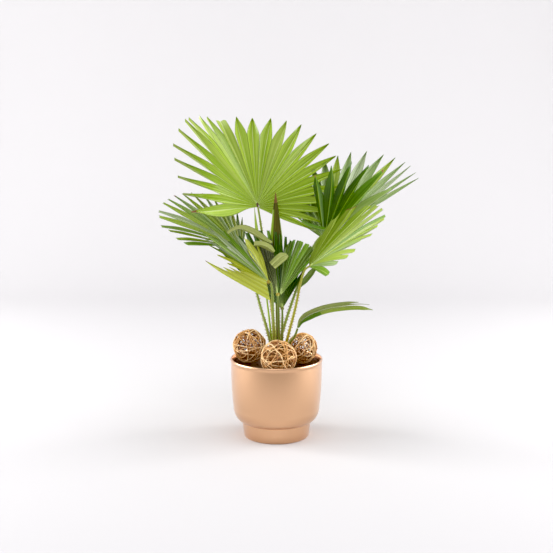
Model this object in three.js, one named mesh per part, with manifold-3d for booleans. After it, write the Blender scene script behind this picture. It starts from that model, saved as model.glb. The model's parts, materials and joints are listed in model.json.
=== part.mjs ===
// A Chinese fan palm in its pot: a clump of pleated fan fronds on thorny stalks, a closed spear
// leaf, a strap leaf that arches out low on the right, and three rattan balls on the soil.
// Millimetres, +Z up. The origin is the middle of the pot's flat underside, and -Y is the front.
import * as THREE from "three";
import { mergeVertices } from "three/addons/utils/BufferGeometryUtils.js";
import Module from "manifold-3d";

const wasm = await Module();
wasm.setup();

// ---- Driving dimensions -------------------------------------------------------------------

const RIM_RADIUS = 95; // outside of the pot's lip
const WALL = 4; // thickness of the pot's wall
const FLOOR = 6; // thickness of the pot's floor
const FOOT_RADIUS = 66.4; // flat disc that the pot stands on
const FOOT_FLARE = 1.3; // how far the foot's wall stands out over that disc
const BOWL_FOOT = 32.2; // height where the bowl swells out of the foot
const BOWL_FOOT_RADIUS = 70.7;
const BOWL_TOP = 63; // height where the bowl's round shoulder ends
const BOWL_TOP_RADIUS = 89.2;
const BOWL_ROUNDING = { radius: 65.5, across: 23.7, down: 31.6 }; // the shoulder's ellipse
const LIP_FOOT = 156.3; // height where the rolled lip starts
const LIP_OVERHANG = 1.3; // how far the lip stands out from the wall below it
const POT_SIDES = 48;

const SOIL_HEIGHT = 145.5; // on the pot's axis
const SOIL_SLOPE = 0.155; // the soil is heaped towards the back
const GAP = 0.3; // between pieces that touch

const STUMP_TOP = 165; // where the stalks start
const STUMP_RADIUS = 20;
const STUMP_CENTRE = new THREE.Vector2(4, 4);
const STALK_FOOT_RADIUS = 3.2;
const STALK_TIP_RADIUS = 2.1;
const UPRIGHT = 18; // a stalk stands upright for this height over the stump

const BLADE_THICKNESS = 2.6;
const PLEAT = 0.22; // height of a pleat, as a share of the leaflet's width
const OVERRUN = 0.045; // how far a blade's outer leaflets reach beyond its edge rays
const HASTULA_RADIUS = STALK_TIP_RADIUS + 1; // ring round the stalk's tip where leaflets start
const SHOULDER = 0.55; // share of a leaflet's free part where it starts to narrow to its tip

const UP = new THREE.Vector3(0, 0, 1);
const radians = THREE.MathUtils.degToRad;
const clamp = THREE.MathUtils.clamp;
const lerp = THREE.MathUtils.lerp;
const smoothstep = THREE.MathUtils.smoothstep;

// ---- Materials ----------------------------------------------------------------------------

const finish = (color, roughness, metalness = 0) =>
  new THREE.MeshStandardMaterial({ color, roughness, metalness });

const FINISH = {
  pot: finish(0xc9966a, 0.35, 0.7),
  soil: finish(0x2e2118, 0.95),
  stump: finish(0x5b3a20, 0.9),
  stalk: finish(0x7f9440, 0.45),
  bright: finish(0x8cb040, 0.4),
  dark: finish(0x3f6a18, 0.4),
  yellow: finish(0xb4c348, 0.42),
  grey: finish(0x5f6e48, 0.45),
  rattan: finish(0xc69a5c, 0.7),
};

// ---- Small helpers ------------------------------------------------------------------------

const plant = new THREE.Group();

function add(name, geometry, material) {
  const mesh = new THREE.Mesh(geometry, material);
  mesh.name = name;
  plant.add(mesh);
  return mesh;
}

const vec = (x, y, z) => new THREE.Vector3(x, y, z);

// Value at t (0 to 1) of a smooth curve through equally spaced keys, which runs on a little
// beyond both ends.
function through(keys, t) {
  const last = keys.length - 1;
  const x = clamp(t, -OVERRUN, 1 + OVERRUN) * last;
  const i = clamp(Math.floor(x), 0, last - 1);
  const f = x - i;
  const b = keys[i];
  const c = keys[i + 1];
  const a = i > 0 ? keys[i - 1] : 2 * b - c;
  const d = i + 2 <= last ? keys[i + 2] : 2 * c - b;
  const bend = (2 * a - 5 * b + 4 * c - d) * f * f;
  return 0.5 * (2 * b + (c - a) * f + bend + (3 * b - a - 3 * c + d) * f * f * f);
}

// A closed body from two sheets of points: front[k] and back[k] face each other. Each face lists
// point numbers of the front sheet, turning left seen from outside, and rim is the sheet's closed
// outline in the same turn.
function slab(front, back, faces, rim) {
  const n = front.length;
  const position = [...front, ...back].flatMap((p) => [p.x, p.y, p.z]);
  const index = [];
  for (const [a, b, c] of faces) {
    index.push(a, b, c, n + a, n + c, n + b);
  }
  rim.forEach((a, k) => {
    const b = rim[(k + 1) % rim.length];
    index.push(a, n + a, b, b, n + a, n + b);
  });
  const geometry = new THREE.BufferGeometry();
  geometry.setAttribute("position", new THREE.Float32BufferAttribute(position, 3));
  geometry.setIndex(index);
  return geometry;
}

// A manifold-3d solid of a closed geometry, with the faces that collapse at a pole left out.
function solid(geometry) {
  const plain = geometry.clone();
  plain.deleteAttribute("normal");
  plain.deleteAttribute("uv");
  const merged = mergeVertices(plain, 1e-3);
  const corners = merged.index.array;
  const triVerts = [];
  for (let i = 0; i < corners.length; i += 3) {
    const [a, b, c] = corners.slice(i, i + 3);
    if (a !== b && b !== c && c !== a) triVerts.push(a, b, c);
  }
  return new wasm.Manifold(
    new wasm.Mesh({
      numProp: 3,
      vertProperties: merged.attributes.position.array,
      triVerts: new Uint32Array(triVerts),
    }),
  );
}

function geometryOf(manifold) {
  const made = manifold.getMesh();
  const geometry = new THREE.BufferGeometry();
  geometry.setAttribute("position", new THREE.BufferAttribute(made.vertProperties, 3));
  geometry.setIndex(new THREE.BufferAttribute(made.triVerts, 1));
  return geometry;
}

// ---- Fan fronds ---------------------------------------------------------------------------

// The frond's own axes: c runs out along the middle of the blade, s to its left, n up from its
// upper face.
function frondAxes({ heading, rise, roll }) {
  const h = radians(heading);
  const r = radians(rise);
  const c = vec(Math.cos(h) * Math.cos(r), Math.sin(h) * Math.cos(r), Math.sin(r));
  const s = UP.clone().cross(c).normalize();
  s.applyAxisAngle(c, radians(roll));
  return { c, s, n: c.clone().cross(s) };
}

// Direction and reach of a ray of the fan. t runs from 0 at the left edge to 1 at the right edge.
function ray(frond, t) {
  const { c, s, n } = frondAxes(frond);
  const spread = through(frond.spread, t);
  const turn = radians(Math.abs(spread));
  const fold = frond.fold[spread > 0 ? 0 : 1];
  const lift = radians(fold * smoothstep(Math.abs(spread), 0, frond.crease));
  const direction = c.clone().multiplyScalar(Math.cos(turn));
  direction.addScaledVector(s, Math.sin(turn) * Math.cos(lift) * Math.sign(spread));
  direction.addScaledVector(n, Math.sin(turn) * Math.sin(lift));
  const foot = vec(...frond.hub);
  foot.addScaledVector(c, frond.costa * Math.cos(turn / 2) ** 2);
  foot.addScaledVector(vec(...(frond.keel ?? [0, 0, 0])), t);
  return { foot, direction, reach: through(frond.reach, t) };
}

// The way that the blade's upper face looks, from where the rays on both sides of t lie.
function facing(frond, t) {
  const step = 0.01;
  const middle = (at) => {
    const { foot, direction, reach } = ray(frond, at);
    return foot.addScaledVector(direction, 0.5 * reach);
  };
  const leftwards = middle(t - step).sub(middle(t + step));
  return ray(frond, t).direction.cross(leftwards).normalize();
}

// A point at a share of the ray's length, with the sag that grows towards its tip.
function onRay(frond, t, share, height = 0) {
  const { foot, direction, reach } = ray(frond, t);
  const p = foot.addScaledVector(direction, Math.max(share * reach, HASTULA_RADIUS));
  p.z -= frond.droop * reach * share ** 2.2;
  return p.addScaledVector(facing(frond, t), height);
}

const sinusAt = (frond, t) => through(frond.sinus, t);

// The blade is one pleated sheet as far as the notches between its leaflets, and then free tips.
function fanBlade(frond) {
  const count = frond.leaflets;
  const sheet = [];
  const outward = [];
  const faces = [];
  const put = (t, share, height) => {
    sheet.push(onRay(frond, t, share, height));
    outward.push(facing(frond, t));
    return sheet.length - 1;
  };
  const pitch = 1 / (count - 1);
  const skirt = frond.skirt ?? 0;
  const ridgeT = (k) => (k - 0.5) * pitch - (k === 0 ? skirt : 0);
  const widthAt = (t, share) =>
    onRay(frond, t - pitch / 2, share).distanceTo(onRay(frond, t + pitch / 2, share));
  const ridges = [];
  for (let k = 0; k <= count; k++) {
    const t = ridgeT(k);
    const notch = sinusAt(frond, t);
    ridges.push({
      root: put(t, 0, 0),
      notch: put(t, notch, PLEAT * 0.5 * widthAt(t, notch)),
    });
  }
  const rim = [];
  for (let k = 0; k < count; k++) {
    const t = k * pitch;
    const left = ridges[k];
    const right = ridges[k + 1];
    const notch = sinusAt(frond, t);
    const shoulder = lerp(notch, 1, SHOULDER);
    const root = put(t, 0, 0);
    const fold = put(t, notch, -PLEAT * 0.5 * widthAt(t, notch));
    const slim = pitch * 0.5 * lerp(0.5, 0.9, frond.blunt);
    const end = pitch * 0.5 * lerp(0.12, 0.75, frond.blunt);
    const outer = -slim - (k === 0 ? skirt : 0);
    const [slimLeft, slimRib, slimRight] = [outer, 0, slim].map((d) => put(t + d, shoulder, 0));
    const [tipLeft, tipRib, tipRight] = [-end, 0, end].map((d) => put(t + d, 1, 0));
    const strip = [
      [left.root, root, right.root],
      [left.notch, fold, right.notch],
      [slimLeft, slimRib, slimRight],
      [tipLeft, tipRib, tipRight],
    ];
    for (let row = 0; row < 3; row++) {
      for (let side = 0; side < 2; side++) {
        const [a, b] = [strip[row][side], strip[row][side + 1]];
        const [d, e] = [strip[row + 1][side], strip[row + 1][side + 1]];
        faces.push([a, b, e], [a, e, d]);
      }
    }
    rim.push(left.notch, slimLeft, tipLeft, tipRib, tipRight, slimRight);
    left.middle = root;
  }
  rim.push(ridges[count].notch, ridges[count].root);
  for (let k = count - 1; k >= 0; k--) {
    rim.push(ridges[k].middle, ridges[k].root);
  }
  const half = BLADE_THICKNESS / 2;
  const front = sheet.map((p, i) => p.clone().addScaledVector(outward[i], half));
  const back = sheet.map((p, i) => p.clone().addScaledVector(outward[i], -half));
  return slab(front, back, faces, rim.reverse());
}

// hub: where the stalk meets the blade. costa: how far the stalk runs on into the blade. keel: how
// far the rays' feet are strung out along a torn edge. heading, rise and roll: how the blade is
// held. spread: angles of the rays from the left edge to the right edge, and reach: their lengths,
// at equal steps. fold: how far each side is folded up, and crease: over what angle. sinus: how far
// out the sheet reaches, as a share of the rays, from the left edge to the right. blunt: 0 for
// pointed tips, 1 for tips that were cut back. skirt: how much wider the left edge's leaflet is.
const FRONDS = {
  frond_top: {
    hub: [-38, 55, 468], costa: 10, heading: 110, rise: 51.5, roll: -2.5, leaflets: 25,
    spread: [106, 41, -9, -67, -128], reach: [198, 237, 237, 206, 133],
    fold: [29, 19], crease: 40, droop: 0.04, sinus: [0.5, 0.78, 0.5], blunt: 0, skirt: 0.02,
    color: "bright",
  },
  frond_right_far_half: {
    hub: [86, 40, 406], costa: 22, heading: 20, rise: 27, roll: 62, leaflets: 15,
    spread: [108, 70, 40, 15, 2], reach: [52, 145, 199, 240, 243],
    fold: [0, 0], crease: 30, droop: 0.03, sinus: [0.85, 0.75, 0.7, 0.6], blunt: 0, color: "bright",
  },
  frond_right_near_half: {
    hub: [86, 35, 406], costa: 22, heading: 8, rise: 26, roll: -55, leaflets: 6,
    spread: [-15, -37, -52, -66, -81], reach: [180, 184, 185, 183, 173],
    fold: [0, 0], crease: 30, droop: 0.02, sinus: [0.66, 0.68, 0.7], blunt: 0, color: "dark",
  },
  frond_right_low: {
    hub: [57, -14, 349.5], costa: 15, heading: -20, rise: 40, roll: 32, leaflets: 16,
    spread: [46, 15, -8, -33, -61], reach: [38, 172, 200, 173, 160],
    fold: [30, 16], crease: 30, droop: 0.05, sinus: [0.7, 0.72, 0.65], blunt: 0.7, color: "bright",
  },
  frond_left: {
    hub: [-64, 72, 372], costa: 15, heading: 165, rise: 37, roll: -50, leaflets: 18,
    spread: [33, 14, -6, -29, -58], reach: [118, 194, 190, 131, 60],
    fold: [4, 10], crease: 35, droop: 0.08, sinus: [0.8, 0.7, 0.62, 0.6], blunt: 0.4, color: "dark",
  },
  frond_front_far_half: {
    hub: [-12, -40, 328], costa: 5, heading: 195, rise: 30, roll: -60, leaflets: 11,
    spread: [8, -4, -11, -27, -52], reach: [68, 132, 179, 129, 84],
    fold: [0, 0], crease: 30, droop: 0.03, sinus: [0.72, 0.6, 0.55], blunt: 0.15, color: "yellow",
  },
  frond_front_near_half: {
    hub: [-7, -42, 294], costa: 5, heading: 202, rise: 25, roll: -60, leaflets: 4,
    keel: [-6, -6, 33],
    spread: [-7.4, -7.8, -7.6, -5.4, -0.4], reach: [158, 119, 103, 90, 64],
    fold: [0, 0], crease: 30, droop: 0, sinus: [0.75, 0.8, 0.8], blunt: 0, color: "yellow",
  },
  frond_middle_left_half: {
    hub: [3, -22, 295], costa: 6, heading: 98, rise: 72, roll: 0, leaflets: 8,
    spread: [39, 24, 14, 9, 3.5], reach: [89, 107, 115, 115, 115],
    fold: [0, 0], crease: 30, droop: 0, sinus: [0.8, 0.8, 0.8], blunt: 1, color: "grey",
  },
  frond_middle_right_half: {
    hub: [7, -20, 293], costa: 6, heading: 80, rise: 70, roll: 0, leaflets: 10,
    spread: [-2.6, -9, -16, -28, -37], reach: [99, 117, 120, 120, 114],
    fold: [0, 0], crease: 30, droop: 0, sinus: [0.93, 0.93, 0.93], blunt: 1, color: "dark",
  },
  frond_rear: {
    hub: [0, 100, 484], costa: 12, heading: 90, rise: 12, roll: 0, leaflets: 17,
    spread: [80, 42, 0, -42, -80], reach: [90, 125, 140, 125, 90],
    fold: [12, 12], crease: 40, droop: 0.1, sinus: [0.55, 0.75, 0.55], blunt: 0.1, color: "dark",
  },
  frond_back: {
    hub: [12, 4, 252], costa: 15, heading: 95, rise: 83.5, roll: 0, leaflets: 15,
    spread: [44, 22, 5, -11, -30], reach: [181, 173, 159, 137, 90],
    fold: [3, 20], crease: 30, droop: 0, sinus: [0.7, 0.75, 0.7], blunt: 0.5, color: "dark",
  },
};

for (const [name, frond] of Object.entries(FRONDS)) {
  add(name, fanBlade(frond), FINISH[frond.color]);
}

// ---- Stalks, spears and straps --------------------------------------------------------------

// A tapering limb along a curve. width and depth give the half sizes of its oval section at a
// share of its length, and side is the direction that width is measured in.
function limb(points, width, depth, side, sides = 6, steps = 8) {
  const curve = new THREE.CatmullRomCurve3(points.map((p) => vec(...p)), false, "centripetal");
  const position = [];
  const index = [];
  for (let i = 0; i <= steps; i++) {
    const u = i / steps;
    const middle = curve.getPointAt(u);
    const along = curve.getTangentAt(u);
    const across = side.clone().addScaledVector(along, -side.dot(along)).normalize();
    const over = along.clone().cross(across);
    for (let k = 0; k < sides; k++) {
      const angle = (k / sides) * 2 * Math.PI;
      const p = middle.clone();
      p.addScaledVector(across, width(u) * Math.cos(angle));
      p.addScaledVector(over, depth(u) * Math.sin(angle));
      position.push(p.x, p.y, p.z);
    }
  }
  for (let i = 0; i < steps; i++) {
    for (let k = 0; k < sides; k++) {
      const a = i * sides + k;
      const b = i * sides + ((k + 1) % sides);
      index.push(a, b, b + sides, a, b + sides, a + sides);
    }
  }
  for (let k = 1; k < sides - 1; k++) {
    index.push(0, k + 1, k);
    index.push(steps * sides, steps * sides + k, steps * sides + k + 1);
  }
  const geometry = new THREE.BufferGeometry();
  geometry.setAttribute("position", new THREE.Float32BufferAttribute(position, 3));
  geometry.setIndex(index);
  return geometry;
}

const ACROSS = vec(1, 0, 0);
const footOf = ([x, y]) => [x, y, STUMP_TOP + GAP];
const aboveFoot = ([x, y]) => [x, y, STUMP_TOP + UPRIGHT];

// foot: place on the stump. bow: how far the stalk's middle stands off the straight line.
const STALKS = {
  stalk_top: { frond: "frond_top", foot: [-2, 17], bow: [3, 0, 0] },
  stalk_right: { frond: "frond_right_far_half", foot: [5, 15], bow: [-7, 0, 0] },
  stalk_right_low: { frond: "frond_right_low", foot: [18, -2], bow: [0, 0, 0] },
  stalk_rear: { frond: "frond_rear", foot: [4, 21.5], bow: [0, 0, 0] },
  stalk_left: { frond: "frond_left", foot: [-10, 3], bow: [0, 0, 0] },
  stalk_front: { frond: "frond_front_far_half", foot: [-6, -4], bow: [2, 0, 0] },
  stalk_middle: { frond: "frond_middle_left_half", foot: [6, -8], bow: [0, 0, 0] },
  stalk_back: { frond: "frond_back", foot: [11, 5], bow: [0, 0, 0] },
};

for (const [name, { frond: frondName, foot, bow }] of Object.entries(STALKS)) {
  const frond = FRONDS[frondName];
  const { c } = frondAxes(frond);
  const hub = vec(...frond.hub);
  const start = vec(...aboveFoot(foot));
  const middle = start.clone().lerp(hub, 0.5).add(vec(...bow));
  const end = hub.clone().addScaledVector(c, frond.costa);
  const path = [footOf(foot), start.toArray(), middle.toArray(), hub.toArray(), end.toArray()];
  const radius = (u) => lerp(STALK_FOOT_RADIUS, STALK_TIP_RADIUS, u);
  add(name, limb(path, radius, radius, ACROSS), FINISH.stalk);
}

// A closed leaf: a thin stalk that swells into a long folded blade between two shares of its
// length, and then narrows to a point.
function closedLeaf(name, path, halfWidth, from, to, material) {
  const stalk = (u) => lerp(2.6, 1, u);
  const swell = (u) => smoothstep(u, from, to) * (1 - smoothstep(u, to + 0.06, 1));
  const width = (u) => Math.max(stalk(u), halfWidth * swell(u));
  const depth = (u) => Math.max(stalk(u), 0.32 * width(u));
  add(name, limb(path, width, depth, ACROSS, 6, 14), material);
}

const SPEAR_FOOT = [1, 4];
closedLeaf(
  "spear_leaf",
  [footOf(SPEAR_FOOT), aboveFoot(SPEAR_FOOT), [-1, 24, 330], [-1, 31, 420], [-2, 31, 503]],
  12.3, 0.4, 0.76, FINISH.dark,
);

const YOUNG_FOOT = [-9, 12];
closedLeaf(
  "young_leaf",
  [footOf(YOUNG_FOOT), aboveFoot(YOUNG_FOOT), [-26, 28, 330], [-41, 46, 425], [-46, 60, 470]],
  5, 0.4, 0.8, FINISH.yellow,
);

// The strap that arches out low on the right: its stalk is one limb and its blade the next, split
// where it bends over.
const STRAP_FOOT = [15, -9];
add(
  "stalk_strap",
  limb([footOf(STRAP_FOOT), aboveFoot(STRAP_FOOT), [36, -17, 212], [43, -19.5, 230]],
    (u) => lerp(3, 2.2, u), (u) => lerp(3, 2.2, u), ACROSS),
  FINISH.stalk,
);

const STRAP_HALF_WIDTH = 10;
const strapWidth = (u) => {
  const swell = smoothstep(u, -0.1, 0.22);
  return STRAP_HALF_WIDTH * swell * lerp(1, 0.85, smoothstep(u, 0.75, 1));
};
add(
  "strap_blade",
  limb([[43.6, -19.7, 231.8], [50, -22, 246], [62, -26, 257], [95, -35, 273], [139, -48, 283],
    [166, -55, 285], [191.5, -62, 281]], strapWidth, () => BLADE_THICKNESS / 2,
    vec(-0.2, -0.45, 0.87), 6, 12),
  FINISH.grey,
);

// Leaflets that are bent over at their tips, each a strap of its own.
function leaflet(name, path, halfWidth, side, blunt, material) {
  const width = (u) => {
    const taper = lerp(1, lerp(0.15, 0.9, blunt), smoothstep(u, 0.55, 1));
    return halfWidth * lerp(0.5, 1, smoothstep(u, 0, 0.3)) * taper;
  };
  add(name, limb(path, width, () => BLADE_THICKNESS / 2, side, 6, 8), material);
}

leaflet("leaflet_bent_long",
  [[-11, -5, 404], [-21, -16, 410], [-45, -30, 428], [-70, -42, 439], [-86, -48, 436],
    [-96.5, -50, 429]], 8, vec(0.3, -0.55, 0.78), 0.2, FINISH.grey);
leaflet("leaflet_bent_short",
  [[-5, -8, 386], [-17, -18, 397], [-31, -27, 404], [-45, -31, 405]], 7,
  vec(0.2, -0.4, 0.9), 1, FINISH.grey);
leaflet("leaflet_bent_flap",
  [[22, -3, 379], [11, -12, 375.5], [0, -18, 367], [-8.5, -20, 359.5]], 10,
  vec(0.75, -0.25, -0.6), 1, FINISH.grey);
leaflet("leaflet_crossing",
  [[113, 15, 429], [95, 10, 430], [79, 8, 434], [62, 9, 440], [42, 13, 454]], 4.5,
  vec(0.1, -0.4, 0.9), 0.2, FINISH.bright);
leaflet("leaflet_hanging",
  [[81, 0, 354], [72, 6, 342], [62, 10, 328.5], [50, 13, 314], [43, 15, 301]], 6,
  vec(0.8, -0.2, -0.55), 0.1, FINISH.dark);

// ---- Pot, soil and stump ------------------------------------------------------------------

// A closed body turned round the pot's axis from radius and height pairs.
function turned(profile) {
  const points = profile.map(([r, z]) => new THREE.Vector2(r, z));
  const geometry = new THREE.LatheGeometry(points, POT_SIDES);
  geometry.rotateX(Math.PI / 2);
  return geometryOf(solid(geometry));
}

const outerRadius = (z) => {
  if (z < BOWL_FOOT) return lerp(FOOT_RADIUS + FOOT_FLARE, BOWL_FOOT_RADIUS, z / BOWL_FOOT);
  if (z < BOWL_TOP) {
    const { radius, across, down } = BOWL_ROUNDING;
    return radius + across * Math.sqrt(1 - ((BOWL_TOP - z) / down) ** 2);
  }
  const t = (z - BOWL_TOP) / (LIP_FOOT - BOWL_TOP);
  return lerp(RIM_RADIUS - LIP_OVERHANG, BOWL_TOP_RADIUS, (1 - t) ** 1.8);
};
const wallProfile = (heights, inset) => heights.map((z) => [outerRadius(z) - inset, z]);

const OUTER_HEIGHTS = [16, BOWL_FOOT, 34, 38, 44, 52, BOWL_TOP, 80, 105, 130, LIP_FOOT];
const INNER_HEIGHTS = [LIP_FOOT, 130, 105, 80, BOWL_TOP, 52, 44, 38, 34];
const INNER_FOOT = 29; // height of the ledge inside, over the foot
const LIP = [[0, -0.1], [1.3, 3], [1.3, 6], [0.5, 7.7], [-0.7, 8.4], [-1.9, 7.9], [-2.7, 6.2]];

add(
  "pot",
  turned([
    [0, 0],
    [FOOT_RADIUS - 1.5, 0],
    [FOOT_RADIUS, 1],
    ...wallProfile(OUTER_HEIGHTS, 0),
    ...LIP.map(([r, z]) => [RIM_RADIUS - LIP_OVERHANG + r, LIP_FOOT + z]),
    ...wallProfile(INNER_HEIGHTS, WALL),
    [BOWL_FOOT_RADIUS - WALL, INNER_FOOT],
    [FOOT_RADIUS - 2, FLOOR],
    [0, FLOOR],
  ]),
  FINISH.pot,
);

function soilHeap() {
  const inset = WALL + GAP;
  const geometry = turned([
    [0, FLOOR + GAP],
    [FOOT_RADIUS - 2 - GAP, FLOOR + GAP],
    [BOWL_FOOT_RADIUS - inset, INNER_FOOT + GAP],
    ...wallProfile([34, 38, 44, 52, BOWL_TOP, 80, 105], inset),
    [outerRadius(130) - inset, SOIL_HEIGHT],
    [0, SOIL_HEIGHT],
  ]);
  const points = geometry.attributes.position;
  for (let i = 0; i < points.count; i++) {
    if (points.getZ(i) > SOIL_HEIGHT - 1) {
      points.setZ(i, SOIL_HEIGHT + SOIL_SLOPE * points.getY(i));
    }
  }
  return geometry;
}
add("soil", soilHeap(), FINISH.soil);

// The fibrous stump that the stalks grow out of, seated on the sloping soil.
function stump() {
  const height = STUMP_TOP - SOIL_HEIGHT;
  const geometry = new THREE.CylinderGeometry(STUMP_RADIUS, STUMP_RADIUS + 2.5, height, 20, 3);
  geometry.rotateX(Math.PI / 2);
  geometry.translate(STUMP_CENTRE.x, STUMP_CENTRE.y, SOIL_HEIGHT + height / 2);
  const points = geometry.attributes.position;
  for (let i = 0; i < points.count; i++) {
    const share = (points.getZ(i) - SOIL_HEIGHT) / height;
    const low = SOIL_HEIGHT + SOIL_SLOPE * points.getY(i) + GAP;
    points.setZ(i, lerp(low, STUMP_TOP, share));
  }
  return geometryOf(solid(geometry));
}
add("stump", stump(), FINISH.stump);

// ---- Rattan balls ---------------------------------------------------------------------------

const CANE = 2.3; // radius of a bundle of canes
const BALLS = {
  rattan_ball_left: { centre: [-56, 18, 185.3], radius: 36.3, turn: 20 },
  rattan_ball_front: { centre: [3.8, -53, 176.2], radius: 38, turn: 0 },
  rattan_ball_right: { centre: [53, 12, 181.5], radius: 33.5, turn: 50 },
};

// A ball is woven of hoops. Three stand square to one another, and two lean across them on the
// inside.
function ball({ centre, radius, turn }) {
  const hoops = [
    [0, 0, 0],
    [90, 0, 0],
    [0, 90, 0],
    [45, 30, 2],
    [-45, 20, 2],
  ];
  const made = hoops.map(([tipX, tipY, inset]) => {
    const hoop = new THREE.TorusGeometry(radius - CANE - inset, CANE, 4, 18);
    hoop.rotateX(radians(tipX));
    hoop.rotateY(radians(tipY));
    hoop.rotateZ(radians(turn));
    hoop.translate(...centre);
    return solid(hoop);
  });
  return geometryOf(wasm.Manifold.union(made));
}

for (const [name, form] of Object.entries(BALLS)) {
  add(name, ball(form), FINISH.rattan);
}

export default plant;
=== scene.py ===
# %% [markdown]
# # A potted Chinese fan palm
# A young fan palm is a clump of thin stalks, each with one pleated fan at its end. The packed
# solids already say where every stalk ends and how every fan is held. This lesson keeps those
# places and swaps each plain solid for what grows there: thin folded leaflets with pale ribs,
# thorny stalks, a fibrous stump, loose soil, woven rattan balls and a satin metallic pot.

import json
import random
from math import atan2, copysign, cos, dist, floor, pi, radians, sin, sqrt

import bpy
from mathutils import Matrix, Vector, noise

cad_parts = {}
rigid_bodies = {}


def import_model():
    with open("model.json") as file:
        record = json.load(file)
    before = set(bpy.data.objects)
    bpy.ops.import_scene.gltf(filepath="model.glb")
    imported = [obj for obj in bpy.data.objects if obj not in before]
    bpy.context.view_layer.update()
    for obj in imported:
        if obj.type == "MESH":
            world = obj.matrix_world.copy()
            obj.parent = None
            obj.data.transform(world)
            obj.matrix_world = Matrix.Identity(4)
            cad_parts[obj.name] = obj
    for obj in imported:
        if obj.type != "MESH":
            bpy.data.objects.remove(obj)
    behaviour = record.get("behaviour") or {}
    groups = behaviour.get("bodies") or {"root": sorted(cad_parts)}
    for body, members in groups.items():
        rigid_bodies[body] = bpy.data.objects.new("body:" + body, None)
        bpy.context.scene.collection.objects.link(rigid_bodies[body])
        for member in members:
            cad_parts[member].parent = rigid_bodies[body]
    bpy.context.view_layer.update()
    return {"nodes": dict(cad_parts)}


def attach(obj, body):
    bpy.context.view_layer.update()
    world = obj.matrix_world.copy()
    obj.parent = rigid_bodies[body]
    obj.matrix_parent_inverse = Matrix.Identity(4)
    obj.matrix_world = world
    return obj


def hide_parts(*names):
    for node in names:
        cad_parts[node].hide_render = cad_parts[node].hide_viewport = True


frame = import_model()
MM = 0.001
scene = bpy.context.scene
print("packed nodes:", len(frame["nodes"]))

# %% [markdown]
# ## Camera
# The plant is looked at from a little above its middle and more than two metres away. A long
# lens keeps the fans' proportions. The view is square.


# %% Place the camera
def in_scene(name, data):
    """A new object in the scene, holding a mesh, a lamp or a camera."""
    made = bpy.data.objects.new(name, data)
    scene.collection.objects.link(made)
    return made


camera = in_scene("camera", bpy.data.cameras.new("camera"))
camera.location = (0.0, -2.1599, 0.6952)
camera.rotation_euler = (radians(90.0 - 9.49), 0.0, 0.0)
camera.data.lens = 70.0
camera.data.sensor_width = 36.0
scene.camera = camera
print("camera distance in m:", round(camera.location.length, 3))

# %% [markdown]
# ## One helper for shader nodes
# Every finish below is a small graph of shader nodes. Adding a node always means the same three
# things: make it, set its options, and fill or link its inputs, by name or by number. One
# function does that for all kinds, so that a finish reads as a list of what is in it.


# %% Helpers for finishes
def linear(code):
    """The linear colour, with alpha, of an sRGB hex value."""
    parts = [(code >> shift & 255) / 255 for shift in (16, 8, 0)]
    bent = [c / 12.92 if c <= 0.04045 else ((c + 0.055) / 1.055) ** 2.4 for c in parts]
    return (*bent, 1.0)


def add_node(finish, kind, settings=None, inputs=None):
    """Adds a shader node, sets its options, fills its inputs with values or links, and returns
    its outputs."""
    made = finish.node_tree.nodes.new(kind)
    for name, value in (settings or {}).items():
        setattr(made, name, value)
    for name, value in (inputs or {}).items():
        if isinstance(value, bpy.types.NodeSocket):
            finish.node_tree.links.new(value, made.inputs[name])
        else:
            made.inputs[name].default_value = value
    return made.outputs


def new_finish(name, base, roughness, metallic=0.0, ior=1.45):
    """A plain finish and its shader, ready for more nodes."""
    finish = bpy.data.materials.new(name)
    finish.use_nodes = True
    shader = finish.node_tree.nodes["Principled BSDF"]
    look = {"Base Color": linear(base), "Roughness": roughness, "Metallic": metallic, "IOR": ior}
    for key, value in look.items():
        shader.inputs[key].default_value = value
    return finish, shader


def link(finish, socket, shader, name):
    finish.node_tree.links.new(socket, shader.inputs[name])


# %% [markdown]
# ## Studio
# The plant stands on a seamless sheet of white paper that curves up behind it. Two large
# softboxes stand low at its left and right, so the metallic pot shows a broad bright band on
# each side. Its middle mirrors the floor in front: lit paper near the pot, and the studio's grey
# boards beyond the paper's edge. So the middle is darker under the lip than at the foot.
# Weak lamps behind, in front and overhead round off the leaves, two lamps whiten the backdrop,
# and a bright room fills the shadows.

# %% Floor and backdrop
PAPER_FRONT = -0.6  # m, where the paper ends in front of the pot
BEND_STEPS = 12


def backdrop():
    """Paper that lies flat, bends up in a quarter circle and stands straight."""
    bend, behind, half, top = 0.9, 1.5, 4.0, 3.4
    profile = [(PAPER_FRONT, 0.0), (behind, 0.0)]
    for k in range(1, BEND_STEPS + 1):
        turn = radians(90 * k / BEND_STEPS)
        profile.append((behind + bend * sin(turn), bend * (1 - cos(turn))))
    profile.append((behind + bend, top))
    points = [(x, y, z) for y, z in profile for x in (-half, half)]
    faces = [(2 * i, 2 * i + 1, 2 * i + 3, 2 * i + 2) for i in range(len(profile) - 1)]
    return points, faces


def new_body(name, points, faces, finishes):
    """An object with smooth faces, from points in metres."""
    mesh = bpy.data.meshes.new(name)
    mesh.from_pydata(points, [], faces)
    mesh.polygons.foreach_set("use_smooth", [True] * len(faces))
    for finish in finishes:
        mesh.materials.append(finish)
    return in_scene(name, mesh)


paper, _ = new_finish("white_background_paper", 0xC0BEBF, 0.9)
made = new_body("backdrop", *backdrop(), [paper])
boards, _ = new_finish("grey_studio_boards", 0x8C8884, 0.8)
corners = [(x, y, -0.002) for x, y in ((-4, -5), (4, -5), (4, PAPER_FRONT), (-4, PAPER_FRONT))]
made = new_body("studio_floor", corners, [(0, 1, 2, 3)], [boards])
print("the paper starts", -PAPER_FRONT, "m in front of the pot")


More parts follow.
